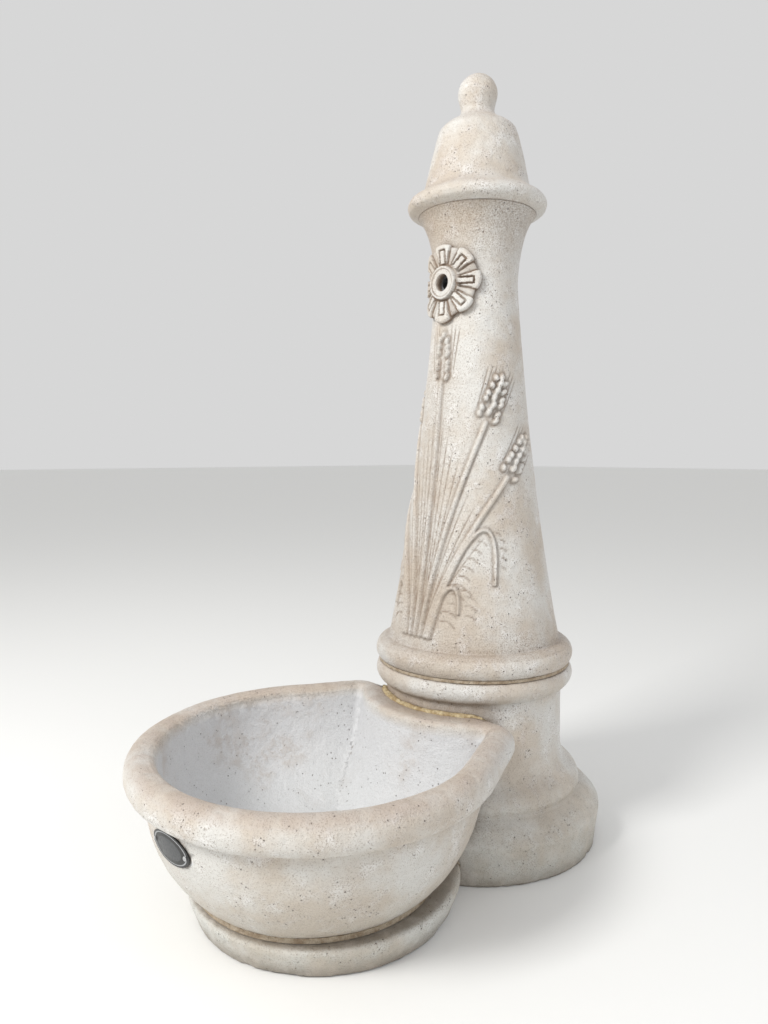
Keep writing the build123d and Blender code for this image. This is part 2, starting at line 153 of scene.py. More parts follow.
def outward(piece):
    """The direction that each point of the piece faces."""
    flat = np.empty(len(piece.data.vertices) * 3)
    piece.data.vertex_normals.foreach_get("vector", flat)
    return flat.reshape(-1, 3)


def arc(centre, r, start, end, step=3.0):
    """Points of a circular run of an outline; angles in degrees from straight out."""
    count = max(3, int(abs(radians(end - start)) * r / step) + 1)
    return [
        (centre[0] + r * cos(radians(a)), centre[1] + r * sin(radians(a)))
        for a in np.linspace(start, end, count)
    ]


def through(points, step=3.0):
    """A smooth run through a few points of an outline, with even steps."""
    points = [Vector(p).to_2d() for p in points]
    ends = [2 * points[0] - points[1]] + points + [2 * points[-1] - points[-2]]
    fine = []
    for a, b, c, d in zip(ends, ends[1:], ends[2:], ends[3:]):
        for t in np.linspace(0, 1, 24, endpoint=False):
            bend = (2 * a - 5 * b + 4 * c - d) * t**2
            fine.append(0.5 * (2 * b + (c - a) * t + bend + (3 * b - a - 3 * c + d) * t**3))
    fine.append(points[-1])
    return evenly(fine, step)


def evenly(points, step):
    points = np.array([tuple(p) for p in points], float)
    run = np.concatenate([[0], np.cumsum(np.linalg.norm(np.diff(points, axis=0), axis=1))])
    count = max(2, int(round(run[-1] / step)) + 1)
    places = np.linspace(0, run[-1], count)
    return [(np.interp(p, run, points[:, 0]), np.interp(p, run, points[:, 1])) for p in places]


first_angle = -60.0             # outlines are drawn here, in degrees round from the front


def turned(name, outline, axis, sectors):
    """Draws an outline by extruding one vertex from point to point, then spins it round an upright axis.

    The outline is pairs of radius and height; each sector is an angle in degrees and its number of steps.
    """
    clean = [outline[0]]
    for point in outline[1:]:
        if abs(point[0] - clean[-1][0]) + abs(point[1] - clean[-1][1]) > 0.01:
            clean.append(point)
    start = radians(first_angle)
    out = Vector((sin(start), -cos(start), 0))
    line = [axis + (out * r + Vector((0, 0, z))) * MM for r, z in clean]
    nothing_selected()
    bpy.ops.mesh.primitive_plane_add(size=MM, location=line[0])
    piece = bpy.context.object
    piece.name = name
    bpy.ops.object.mode_set(mode="EDIT")
    bpy.ops.mesh.select_all(action="SELECT")
    bpy.ops.mesh.merge(type="CENTER")
    for here, there in zip(line, line[1:]):
        bpy.ops.mesh.extrude_region_move(TRANSFORM_OT_translate={"value": there - here})
    bpy.ops.mesh.select_all(action="SELECT")
    for angle, steps in sectors:
        bpy.ops.mesh.spin(steps=steps, angle=-radians(angle), center=axis, axis=(0, 0, 1))
    bpy.ops.mesh.select_all(action="SELECT")
    bpy.ops.mesh.remove_doubles(threshold=0.05 * MM)
    bpy.ops.mesh.normals_make_consistent(inside=False)
    bpy.ops.object.mode_set(mode="OBJECT")
    bpy.ops.object.shade_smooth()
    return placed(piece)


def whole_turn(r, step=3.2):
    return [(360.0, int(tau * r / step))]


def wavy(where, size, seed=0.0):
    """Smooth noise at each point, about -1 to 1, whose bumps are size millimetres across."""
    scale = 1 / (size * MM)
    shift = Vector((seed * 7.3, seed * 3.1, seed * 5.7))
    return np.array([noise.noise(Vector(p) * scale + shift) for p in where])


def worn(piece, depth, grain, seed, joint_z=None):
    """Hand-finished stone: the surface sinks a little, but not at a joint."""
    where = points_of(piece)
    facing = outward(piece)
    sink = depth * (wavy(where, 60, seed) - 1) / 2 + grain * (wavy(where, 9, seed + 2) - 1) / 2
    if joint_z:
        sink *= np.clip((abs(where[:, 2] / MM - joint_z) - 1.0) / 8.0, 0, 1)
    return move_points(piece, where + facing * sink[:, None] * MM)


def chipped(piece, height, depth, seed):
    """Crumbled stone along the bottom edge."""
    where = points_of(piece)
    near = np.clip(1 - (where[:, 2] - where[:, 2].min()) / (height * MM), 0, 1)
    bite = np.clip(wavy(where, 16, seed) + 0.4 * wavy(where, 6, seed + 1) - 0.1, 0, 1) * near**2
    facing = outward(piece)
    facing[:, 2] = np.clip(facing[:, 2], -0.2, 0.2)
    return move_points(piece, where - facing * (bite * depth * MM)[:, None])


def note(piece, name, values):
    """Keeps a number at each point of the mesh, which the finish reads."""
    layer = piece.data.attributes.new(name, "FLOAT", "POINT")
    layer.data.foreach_set("value", np.asarray(values, np.float32))


def finished(piece, material, slot, body, *nodes):
    piece.data.materials.clear()
    piece.data.materials.append(material)
    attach(piece, body)
    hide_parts(*nodes)
    return piece


# ---------------------------------------------------------------- finishes

def colour(code):
    """sRGB hex to the linear colour that a shader reads."""
    parts = [int(code[k:k + 2], 16) / 255 for k in (0, 2, 4)]
    return tuple(c / 12.92 if c <= 0.04045 else ((c + 0.055) / 1.055) ** 2.4 for c in parts) + (1.0,)


def add(tree, kind, links=None, **settings):
    """Adds a node; links gives an input its value or the output that feeds it."""
    new = tree.nodes.new("ShaderNode" + kind)
    for key, value in settings.items():
        setattr(new, key, value)
    for socket, value in (links or {}).items():
        if isinstance(value, bpy.types.NodeSocket):
            tree.links.new(value, new.inputs[socket])
        else:
            new.inputs[socket].default_value = value
    return new


def empty_material(name):
    material = bpy.data.materials.new(name)
    material.use_nodes = True
    material.node_tree.nodes.clear()
    tree = material.node_tree
    shader = add(tree, "BsdfPrincipled")
    add(tree, "OutputMaterial", {"Surface": shader.outputs[0]})
    return material, tree, shader


def spread(tree, value, lo, hi, out_lo=0.0, out_hi=1.0):
    limits = {0: value, 1: lo, 2: hi, 3: out_lo, 4: out_hi}
    return add(tree, "MapRange", limits, interpolation_type="SMOOTHSTEP").outputs[0]


def times(tree, a, b):
    return add(tree, "Math", {0: a, 1: b}, operation="MULTIPLY").outputs[0]


def mixed(tree, share, a, b):
    """One colour over another."""
    node = add(tree, "Mix", {0: share, 6: a, 7: b}, data_type="RGBA")
    return node.outputs[2]


def cast_stone(name, seed, patina=1.0, pits=1.0, damp=0.0, dust=0.5, carved=False, zones=False):
    """Pale cement stone, rubbed with brown patina and weathered, with fine grit and small air holes; the
    brown in its hollows is partly painted shade.
    """
    material, tree, shader = empty_material(name)
    here = add(tree, "TexCoord").outputs["Object"]
    shifted = add(tree, "Mapping", {0: here, 1: (seed, seed * 0.7, seed * 0.3)}).outputs[0]
    broad = add(tree, "TexNoise", {0: shifted, "Scale": 9.0, "Detail": 4.0, "Roughness": 0.6}).outputs[0]
    cloud = add(tree, "TexNoise", {0: shifted, "Scale": 38.0, "Detail": 6.0, "Roughness": 0.68}).outputs[0]
    sand = add(tree, "TexNoise", {0: shifted, "Scale": 620.0, "Detail": 3.0, "Roughness": 0.7}).outputs[0]
    skin = mixed(tree, spread(tree, broad, 0.36, 0.64), colour("DAD8D3"), colour("CABFB1"))
    skin = mixed(tree, times(tree, spread(tree, cloud, 0.48, 0.68), 0.6), skin, colour("F0EFED"))
    # brown patina rubbed into the hollows, laid on by ambient occlusion, so it is also painted shade in
    # creases, under overhangs and between parts
    patina_and_shade = add(tree, "AmbientOcclusion", {"Distance": 0.03}, samples=6).outputs["AO"]
    patina_and_shade = spread(tree, patina_and_shade, 0.86, 0.42)
    if carved:
        cut = add(tree, "Attribute", attribute_name="carving").outputs["Fac"]
        patina_and_shade = add(tree, "Math", {0: patina_and_shade, 1: cut}, operation="MAXIMUM").outputs[0]
        stained = add(tree, "Attribute", attribute_name="stain").outputs["Fac"]
        speckled = spread(tree, sand, 0.40, 0.6, 0.25, 1.0)
        skin = mixed(tree, times(tree, times(tree, stained, speckled), 0.9), skin, colour("8E7B68"))
    blotch = spread(tree, cloud, 0.3, 0.62, 0.45, 1.0)
    # patina in the hollows and painted shade together, broken up in clouds
    brown = times(tree, times(tree, patina_and_shade, blotch), 0.95 * patina)
    skin = mixed(tree, brown, skin, colour("83705F"))
    # a thin wash of the same brown over everything, in clouds
    wash = times(tree, spread(tree, broad, 0.45, 0.7), spread(tree, cloud, 0.4, 0.62))
    wash = times(tree, wash, 0.35 * patina)
    skin = mixed(tree, wash, skin, colour("AE9B89"))
    # brown grit that the sandy surface holds, in patches
    held = times(tree, spread(tree, sand, 0.5, 0.6), spread(tree, cloud, 0.46, 0.6))
    skin = mixed(tree, times(tree, held, 0.45 * patina), skin, colour("8D7B69"))
    # dust and brown on what faces up
    up = add(tree, "SeparateXYZ", {0: add(tree, "NewGeometry").outputs["Normal"]}).outputs[2]
    lying = times(tree, spread(tree, up, 0.2, 0.95), spread(tree, cloud, 0.3, 0.62, 0.35, 1.0))
    lying = times(tree, lying, dust)
    if zones:
        rim = add(tree, "Attribute", attribute_name="rim").outputs["Fac"]
        inside = add(tree, "Attribute", attribute_name="inside").outputs["Fac"]
        lying = times(tree, lying, rim)
        soft = times(tree, spread(tree, broad, 0.5, 0.66), spread(tree, cloud, 0.42, 0.6))
        basin_wall = mixed(tree, times(tree, soft, 0.55), colour("D9DADC"), colour("BDB1A6"))
        skin = mixed(tree, times(tree, inside, 0.88), skin, basin_wall)
    skin = mixed(tree, lying, skin, colour("B3A294"))
    # damp green-grey near the ground
    if damp:
        height = add(tree, "SeparateXYZ", {0: here}).outputs[2]
        wet = times(tree, spread(tree, height, 0.17, 0.01), spread(tree, cloud, 0.3, 0.6, 0.4, 1.0))
        wet = times(tree, wet, damp)
        skin = mixed(tree, wet, skin, colour("A7ABA2"))
    # speckles of sand and small air holes
    speck = times(tree, spread(tree, sand, 0.54, 0.66), 0.5 * pits)
    if zones:
        speck = times(tree, speck, spread(tree, inside, 0.0, 1.0, 1.0, 0.45))
    skin = mixed(tree, speck, skin, colour("8A7A6A"))
    cells = add(tree, "TexVoronoi", {0: shifted, "Scale": 150.0}).outputs["Distance"]
    holes = times(tree, spread(tree, cells, 0.17, 0.1), spread(tree, cloud, 0.5, 0.56))
    holes = times(tree, holes, pits)
    skin = mixed(tree, times(tree, holes, 0.75), skin, colour("5E5044"))
    relief = add(tree, "Math", {0: sand, 1: times(tree, holes, 2.5)}, operation="SUBTRACT").outputs[0]
    relief = add(tree, "Math", {0: relief, 1: times(tree, cloud, 3.5)}, operation="ADD").outputs[0]
    bump = add(tree, "Bump", {"Strength": 0.75, "Distance": 0.0016, "Height": relief}).outputs[0]
    rough = spread(tree, cloud, 0.35, 0.65, 0.28, 0.52)
    for socket, value in {"Base Color": skin, "Roughness": rough, "Normal": bump}.items():
        tree.links.new(value, shader.inputs[socket])
    shader.inputs["IOR"].default_value = 1.5
    return material


def rough_mortar(name, base, dark):
    """Sand and lime mortar pressed in by hand: dull, gritty, uneven."""
    material, tree, shader = empty_material(name)
    here = add(tree, "TexCoord").outputs["Object"]
    lumps = add(tree, "TexNoise", {0: here, "Scale": 90.0, "Detail": 5.0, "Roughness": 0.7}).outputs[0]
    grit = add(tree, "TexNoise", {0: here, "Scale": 500.0, "Detail": 2.0}).outputs[0]
    skin = mixed(tree, spread(tree, lumps, 0.38, 0.62), colour(base), colour(dark))
    skin = mixed(tree, times(tree, spread(tree, grit, 0.55, 0.7), 0.5), skin, colour("7A6858"))
    both = add(tree, "Math", {0: times(tree, lumps, 3.0), 1: grit}, operation="ADD").outputs[0]
    bump = add(tree, "Bump", {"Strength": 0.8, "Distance": 0.002, "Height": both}).outputs[0]
    tree.links.new(skin, shader.inputs["Base Color"])
    tree.links.new(bump, shader.inputs["Normal"])
    shader.inputs["Roughness"].default_value = 0.88
    return material


def metal(name, base, worn_tone, roughness, grain):
    """Cast or drawn metal with tarnish in clouds and fine tooling marks."""
    material, tree, shader = empty_material(name)
    here = add(tree, "TexCoord").outputs["Object"]
    cloud = add(tree, "TexNoise", {0: here, "Scale": 120.0, "Detail": 5.0}).outputs[0]
    marks = add(tree, "TexNoise", {0: here, "Scale": grain, "Detail": 2.0}).outputs[0]
    skin = mixed(tree, spread(tree, cloud, 0.4, 0.62), colour(base), colour(worn_tone))
    rough = spread(tree, cloud, 0.35, 0.65, roughness, roughness + 0.2)
    bump = add(tree, "Bump", {"Strength": 0.2, "Distance": 0.0003, "Height": marks}).outputs[0]
    for socket, value in {"Base Color": skin, "Roughness": rough, "Normal": bump}.items():
        tree.links.new(value, shader.inputs[socket])
    shader.inputs["Metallic"].default_value = 1.0
    return material


def dull(name, base, second, roughness, scale):
    """Paint or rubber: one tone, with faint clouds of wear."""
    material, tree, shader = empty_material(name)
    here = add(tree, "TexCoord").outputs["Object"]
    cloud = add(tree, "TexNoise", {0: here, "Scale": scale, "Detail": 4.0}).outputs[0]
    skin = mixed(tree, spread(tree, cloud, 0.4, 0.65), colour(base), colour(second))
    rough = spread(tree, cloud, 0.35, 0.65, roughness, roughness + 0.12)
    tree.links.new(skin, shader.inputs["Base Color"])
    tree.links.new(rough, shader.inputs["Roughness"])
    return material


stone_pedestal = cast_stone("cast_stone_pedestal", 1.0, patina=1.0, damp=0.4, dust=0.15)
stone_shaft = cast_stone("cast_stone_carved_shaft", 2.0, patina=1.0, pits=1.2, carved=True, dust=0.2)
stone_cap = cast_stone("cast_stone_cap", 3.0, patina=1.1, dust=0.35)
stone_basin = cast_stone("cast_stone_basin", 4.0, patina=0.9, damp=0.25, dust=0.65, zones=True)
stone_foot = cast_stone("cast_stone_foot", 5.0, patina=1.0, damp=0.35, dust=0.1)
stone_rosette = cast_stone("cast_stone_rosette", 6.0, patina=1.3, pits=0.8, carved=True, dust=0.1)
mortar = rough_mortar("sand_lime_mortar", "D6C6A0", "A78F68")
old_mortar = rough_mortar("stained_joint_mortar", "BDAF9A", "9C8972")
brass = metal("tarnished_cast_brass", "8F7A4A", "5C5340", 0.38, 900.0)
zinc = metal("hot_dip_galvanised_steel", "9A9C9E", "7C7F82", 0.42, 300.0)
steel = metal("brushed_stainless_steel", "B8B9BB", "9A9B9D", 0.28, 700.0)
rubber = dull("nitrile_rubber", "1E1E1F", "2A2A2B", 0.7, 200.0)


# ---------------------------------------------------------------- pedestal

# the plinth's outline from the ground up: in from its widest line, and height
plinth_edge = [(6.5, 0.0), (0.4, 50.0)]
plinth_round = [(0.4, 50.0), (0.6, 55.0), (3.6, 59.5), (9.0, 65.0), (15.0, 71.0)]
step_curve = [
    (30.5, 80.5), (29.2, 88.0), (32.0, 97.0), (38.5, 105.0), (47.0, 112.5), (53.0, 122.0), (56.5, 134.0),
]


def from_plinth(points):
    return [(plinth_r - inward, z) for inward, z in points]


def pedestal_outside():
    roll_z = pedestal_top - roll_offset
    lowest = -degrees(acos((drum_r - roll_centre_r) / roll_r))
    highest = degrees(asin(roll_offset / roll_r))
    rounded = from_plinth(plinth_round)
    step = from_plinth(step_curve) + [(drum_r, drum_foot_z)]
    drum = [(drum_r, drum_foot_z), (drum_r, roll_z + roll_r * sin(radians(lowest)))]
    return (
        evenly(from_plinth(plinth_edge), 3.0) + through(rounded) + evenly([rounded[-1], step[0]], 3.0)
        + through(step) + evenly(drum, 3.5) + arc((roll_centre_r, roll_z), roll_r, lowest, highest, 2.5)
    )


def make_pedestal():
    outside = pedestal_outside()
    top = outside[-1]
    inside = [
        (pedestal_bore_r, pedestal_top), (pedestal_bore_r, pedestal_bore_z), (plinth_bore_r, plinth_bore_z),
        (plinth_bore_r, 0.0), outside[0],
    ]
    outline = outside + evenly([top, inside[0]], 6.0)
    for a, b in zip(inside, inside[1:]):
        outline += evenly([a, b], 8.0)
    piece = turned("pedestal_stone", outline, column, whole_turn(r=150, step=3.2))
    worn(piece, 1.4, 0.7, 1)
    chipped(piece, 10, 5.0, 11)
    return finished(piece, stone_pedestal, "pedestal_stone", "fountain", "pedestal")


# ---------------------------------------------------------------- shaft and its carving

# the hollow taper and the throat that flares under the cap, by radius and height
neck = (61.0, 792.0)
shaft_profile = through([
    (shaft_foot_r, shaft_foot_crease_z), (116.0, 347.0), (104.6, 415.0), (93.6, 488.0), (85.0, 551.0),
    (76.2, 625.0), (69.0, 697.0), (63.6, 758.0), neck,
], 1.9)
throat_profile = through([
    neck, (60.6, 806.0), (61.4, 824.0), (63.9, 845.0), (69.0, 868.0), (76.0, 886.5), (shaft_top_r, 900.0),
], 2.6)
skin_z = np.array([z for r, z in shaft_profile + throat_profile[1:]])
skin_r = np.array([r for r, z in shaft_profile + throat_profile[1:]])


def round_and_up(where):
    """Unrolls points: millimetres round the skin from the front, and millimetres up."""
    x = (where[:, 0] - column.x) / MM
    y = (where[:, 1] - column.y) / MM
    z = where[:, 2] / MM
    angle = np.arctan2(x, -y)
    return np.stack([np.interp(z, skin_z, skin_r) * angle, z], 1), np.hypot(x, y), angle


def along_path(places, path, step=5.0):
    """Distance of each place from a smooth path, and the nearest place's share of its length."""
    line = np.array(through([Vector(p) for p in path], step))
    run = np.concatenate([[0], np.cumsum(np.linalg.norm(np.diff(line, axis=0), axis=1))])
    best = np.full(len(places), 1e9)
    share = np.zeros(len(places))
    for k in range(len(line) - 1):
        a, b = line[k], line[k + 1]
        d = b - a
        t = np.clip(((places - a) @ d) / (d @ d), 0, 1)
        gap = np.linalg.norm(places - a - t[:, None] * d, axis=1)
        nearer = gap < best
        best[nearer] = gap[nearer]
        share[nearer] = (run[k] + t[nearer] * (run[k + 1] - run[k])) / run[-1]
    return best, share


class Carving:
    """Height and patina at each place of the unrolled skin, in millimetres."""

    def __init__(self, places):
        self.places = places
        self.high = np.zeros(len(places))
        self.ground = np.zeros(len(places))
        self.brown = np.zeros(len(places))

    def near(self, points, margin):
        points = np.array(points, float)
        lo, hi = points.min(0) - margin, points.max(0) + margin
        return np.flatnonzero(np.all((self.places > lo) & (self.places < hi), axis=1))

    def stem(self, path, width, height, taper=0.75):
        """A rounded stalk or leaf that stands up from the skin."""
        some = self.near(path, 4 * width)
        gap, share = along_path(self.places[some], path)
        half = width * (1 - (1 - taper) * share)
        rise = height * np.clip(1 - (gap / half) ** 2, 0, 1) ** 0.6
        self.high[some] = np.maximum(self.high[some], rise)
        foot = np.exp(-((gap - half) / (0.5 * width)) ** 2)
        self.brown[some] = np.maximum(self.brown[some], 0.75 * foot)
        self.ground[some] = np.minimum(self.ground[some], -0.7 * np.exp(-((gap - half) / 2.2) ** 2))

    def cut(self, path, width=1.15, depth=1.1):
        """A line scratched with a point."""
        some = self.near(path, 8)
        gap, share = along_path(self.places[some], path, 4.0)
        ends = np.clip(np.minimum(share, 1 - share) * 8, 0, 1)
        line = np.exp(-((gap / width) ** 2)) * ends
        self.ground[some] = np.minimum(self.ground[some], -depth * line)
        self.brown[some] = np.maximum(self.brown[some], line)

    def grain(self, centre, lean, length, width, height):
        """A plump seed; lean is in degrees from upright, to the right."""
        some = self.near([centre], 3 * length)
        d = self.places[some] - np.array(centre)
        c, s = cos(radians(lean)), sin(radians(lean))
        along = d[:, 0] * s + d[:, 1] * c
        across = d[:, 0] * c - d[:, 1] * s
        far = np.sqrt((along / (length / 2)) ** 2 + (across / (width / 2)) ** 2)
        self.high[some] = np.maximum(self.high[some], height * np.sqrt(np.clip(1 - far**2, 0, 1)))
        ring = np.exp(-((far - 1.15) / 0.4) ** 2)
        self.brown[some] = np.maximum(self.brown[some], 0.9 * ring)
        self.ground[some] = np.minimum(self.ground[some], -1.0 * np.exp(-np.clip(far - 1.0, 0, 9) ** 2 / 0.5))


def ear(carving, foot, tip, half_width, rows, middle_row, size=10.0):
    """Two slanting rows of grains, or three, and one at the tip."""
    foot, tip = np.array(foot, float), np.array(tip, float)
    up = (tip - foot) / np.linalg.norm(tip - foot)
    side = np.array([up[1], -up[0]])
    lean = degrees(atan2(up[0], up[1]))
    for row in range(rows):
        t = (row + 0.4) / rows
        spread_out = half_width * (1 - 0.45 * t**2)
        uneven = 1.5 * sin(2.4 * row + foot[0])
        for way in (-1, 1):
            centre = foot + (tip - foot) * (t - 0.03 * way) + side * way * spread_out + up * uneven
            carving.grain(centre, lean + way * (38 if middle_row else 24), size + 0.8 * way, size * 0.72, 4.6)
        if middle_row and row:
            centre = foot + (tip - foot) * (t - 0.04) + side * uneven
            carving.grain(centre, lean + uneven * 6, size * 1.15, size * 0.82, 5.6)
    carving.grain(tip, lean, size, size * 0.75, 4.6)


# ---- a plain wheat sheaf, drawn by rule between the shaft's foot and the rosette

sheaf_foot = shaft_foot_z + 50.0
sheaf_top = outlet_z - 70.0
sheaf_height = sheaf_top - sheaf_foot
ear_length = 66.0
fan_power = 1.5                 # above 1, stalks leave the foot together and part further up
stalk_fan = (0.0, 62.0, 92.0)   # how far each stalk's top stands to the side
stalk_reach = (0.84, 0.70, 0.52)  # height of each stalk's top, as a share of the sheaf
stalk_start = (9.0, 18.0)       # the side stalks' feet stand a little apart
leaf_fan = (106.0, 62.0)
leaf_reach = (0.32, 0.15)
hair_step = 13.0


def fanned(lean, reach, way, start=0.0):
    """A stalk that leaves the foot with the others and bends outwards as it rises."""
    path = []
    for share in np.linspace(0, 1, 7):
        path.append((way * (start + lean * share**fan_power), sheaf_foot + sheaf_height * reach * share))
    return path


def drooping(lean, reach, way):
    """A leaf that rises from the foot, turns over and hangs: one cubic curve between four given points."""
    tall = sheaf_height * reach
    hold = [
        Vector((24.0, 0)), Vector((0.45 * lean, 1.0 * tall)),
        Vector((0.95 * lean, 1.6 * tall)), Vector((1.02 * lean, 0.55 * tall)),
    ]
    path = []
    for t in (k / 11 for k in range(12)):
        u = 1 - t
        point = u**3 * hold[0] + 3 * u * u * t * hold[1] + 3 * u * t * t * hold[2] + t**3 * hold[3]
        path.append((way * point.x, sheaf_foot + point.y))
    return path


def awns(carving, foot, tip, way):
    """Fine straight hairs that stand round an ear, parallel to it and spreading a little."""
    foot, tip = np.array(foot), np.array(tip)
    up = (tip - foot) / np.linalg.norm(tip - foot)
    aside = np.array([up[1], -up[0]])
    for k in (-4, -3, -2, 2, 3, 4):
        begin = foot + aside * k * 4.6 + up * 6.0
        end = tip + aside * k * 6.2 + up * (22.0 - 3.0 * abs(k))
        carving.cut([tuple(begin), tuple((begin + end) / 2), tuple(end)], 0.75, 0.9)


def hairs(carving, path, way):
    """Short curved cuts at even steps on the outer side of a leaf."""
    line = through(path, hair_step)
    for k, (s, z) in enumerate(line[2:]):
        length = 26.0 - 1.1 * k
        if length > 9.0:
            begin = (s + way * 8.0, z - 2.0)
            bend = (s + way * (8.0 + 0.6 * length), z - 4.0)
            end = (s + way * (8.0 + length), z - 4.0 - 0.35 * length)
            carving.cut([begin, bend, end], 0.85, 1.0)


def eared_stalk(carving, lean, reach, way, middle_row, start):
    path = fanned(lean, reach, way, start)
    carving.stem(path, 4.0, 3.6, 1.15)
    top, below = np.array(path[-1]), np.array(path[-2])
    up = (top - below) / np.linalg.norm(top - below)
    foot, tip = top + up * 4.0, top + up * ear_length
    ear(carving, tuple(foot), tuple(tip), 13.0 if middle_row else 9.5, 6, middle_row, 12.0)
    awns(carving, foot, tip, way)


def carve_sheaf(carving):
    eared_stalk(carving, stalk_fan[0], stalk_reach[0], 1, False, 0.0)
    for way in (-1, 1):
        for lean, reach, start in zip(stalk_fan[1:], stalk_reach[1:], stalk_start):
            eared_stalk(carving, lean, reach, way, True, start)
        for lean, reach in zip(leaf_fan, leaf_reach):
            leaf = drooping(lean, reach, way)
            carving.stem(leaf, 4.6, 3.7, 0.5)
            hairs(carving, leaf, way)
        for k in range(9):
            lean = 6.0 + 8.0 * k
            carving.cut(fanned(lean, 0.74 - 0.05 * k, way, 4.0 + 2.0 * k), 0.75, 1.0)


def make_shaft():
    socket_z = shaft_top_z - cap_socket_depth
    socket = [
        (shaft_top_r, shaft_top_z), (cap_socket_r, shaft_top_z), (cap_socket_r, socket_z),
        (shaft_bore_r, socket_z - cap_socket_taper), (shaft_bore_r, shaft_bore_end_z),
        (pedestal_bore_r, shaft_foot_z),
    ]
    roll_z = shaft_foot_z + roll_offset
    start = -degrees(asin(roll_offset / roll_r))
    end = degrees(acos((shaft_foot_r - roll_centre_r) / roll_r))
    roll = arc((roll_centre_r, roll_z), roll_r, start, end, 2.5)
    outline = roll + shaft_profile[1:] + throat_profile[1:]
    for a, b in zip(socket, socket[1:]):
        outline += evenly([a, b], 14.0)
    outline += evenly([socket[-1], roll[0]], 12.0)
    piece = turned("shaft_stone", outline, column, [(165, 190), (140, 28), (55, 30)])
    where = points_of(piece)
    places, out, angle = round_and_up(where)
    up = places[:, 1]
    on_skin = (out > np.interp(up, skin_z, skin_r) - 0.5) & (up > 291) & (up < 899)
    skin = np.flatnonzero(on_skin)
    carving = Carving(places[skin])
    carve_sheaf(carving)
    rise = carving.ground * (carving.high < 0.2) + carving.high
    rise *= np.clip((places[skin, 1] - 292) / 8, 0, 1)
    directions = where[skin] - np.array(column)
    directions[:, 2] = 0
    directions /= np.linalg.norm(directions, axis=1)[:, None]
    where[skin] += directions * (rise * MM)[:, None]
    move_points(piece, where)
    brown = np.zeros(len(where))
    brown[skin] = carving.brown * np.clip(1 - carving.high / 2.5, 0, 1)
    # stains: under the cap, above the rounded band, and among the stalks
    top_band = 0.75 * np.clip((up - 800) / 80, 0, 1)
    foot_band = 0.55 * np.clip((345 - up) / 50, 0, 1) * (up > 285)
    among = 0.5 * np.exp(-((angle / 0.5) ** 2)) * np.clip((740 - up) / 60, 0, 1)
    note(piece, "carving", brown)
    note(piece, "stain", np.maximum(np.maximum(top_band, foot_band), among))
    worn(piece, 1.0, 0.35, 21, shaft_top_z)
    nothing_selected()
    bpy.ops.mesh.primitive_cylinder_add(
        vertices=48, radius=drill_r * MM, depth=60 * MM,
        location=(column.x, column.y - 50 * MM, outlet.z), rotation=(pi / 2, 0, 0),
    )
    drill = placed(bpy.context.object)
    applied(piece, "BOOLEAN", operation="DIFFERENCE", object=drill, solver="MANIFOLD")
    bpy.data.objects.remove(drill)
    return finished(piece, stone_shaft, "shaft_stone", "fountain", "shaft")


# ---------------------------------------------------------------- cap

# runs of the cap's outline, by radius and height above its seat, from the ball's neck down
bell_side = [(bell_top_r, bell_top), (60.5, 105), (67.2, 79), (72.4, 56), (bell_foot_r, bell_foot)]
bell_flare = [(bell_foot_r, bell_foot), (79.0, 34.5), (84.5, 29.8), (91.0, 25.6)]
brim = [
    (brim_r - 4.0, 22.0), (brim_r, 14.5), (brim_r - 1.2, 8.5), (brim_r - 5.0, 4.6), (shaft_top_r, 0.0),
]


def make_cap():
    seat = shaft_top_z
    ball_z = cap_top_z - ball_r
    outline = arc((0, ball_z), ball_r, 90, -22, 2.0)
    ball_neck = [
        outline[-1], (25.4, ball_z - 18), (24.8, ball_z - 24), (27.5, ball_z - 30), (33.5, ball_z - 35.5),
        (41.0, seat + 131), (49.5, seat + 125.5), (bell_top_r, seat + bell_top),
    ]
    outline += through(ball_neck, 2.6)[1:]
    outline += through([(r, seat + up) for r, up in bell_side], 3.0)[1:]
    outline += through([(r, seat + up) for r, up in bell_flare + brim], 2.0)[1:]
    under = [
        (shaft_top_r, 0), (spigot_r, 0), (spigot_r, -spigot_length), (cap_bore_r, -spigot_length),
        (cap_bore_r, cap_bore_side), (0, cap_bore_top),
    ]
    for a, b in zip(under, under[1:]):
        outline += evenly([(a[0], seat + a[1]), (b[0], seat + b[1])], 6.0)
    piece = turned("cap_stone", outline, column, whole_turn(80, 2.6))
    worn(piece, 1.6, 0.6, 31, shaft_top_z)
    return finished(piece, stone_cap, "cap_stone", "cap", "cap")


# ---------------------------------------------------------------- rosette

petal_pitch = 45.0              # eight petals
petal_r = 54.5
lobe_r = 49.5                   # the short lobes between the petals
collar_r = 22.6
rosette_reach = 43.0            # from the hole's edge to the ring before the hem
hem = [55.2, 55.4, 55.6]        # three close rings that turn the edge back to the shaft


def from_petal(angle):
    """Degrees from the middle of the nearest petal."""
    half = petal_pitch / 2
    return ((degrees(angle) + half) % petal_pitch) - half


def rosette_edge(angle):
    """The outline's radius in each direction: eight broad petals and a short lobe between each pair."""
    off = from_petal(angle)
    wide = petal_r - 0.011 * off**2
    blend = np.clip((abs(off) - 13.5) / 3.0, 0, 1)
    uneven = 1.1 * sin(3 * angle + 0.6) + 0.8 * sin(7 * angle)
    return wide * (1 - blend) + lobe_r * blend + uneven - 0.8


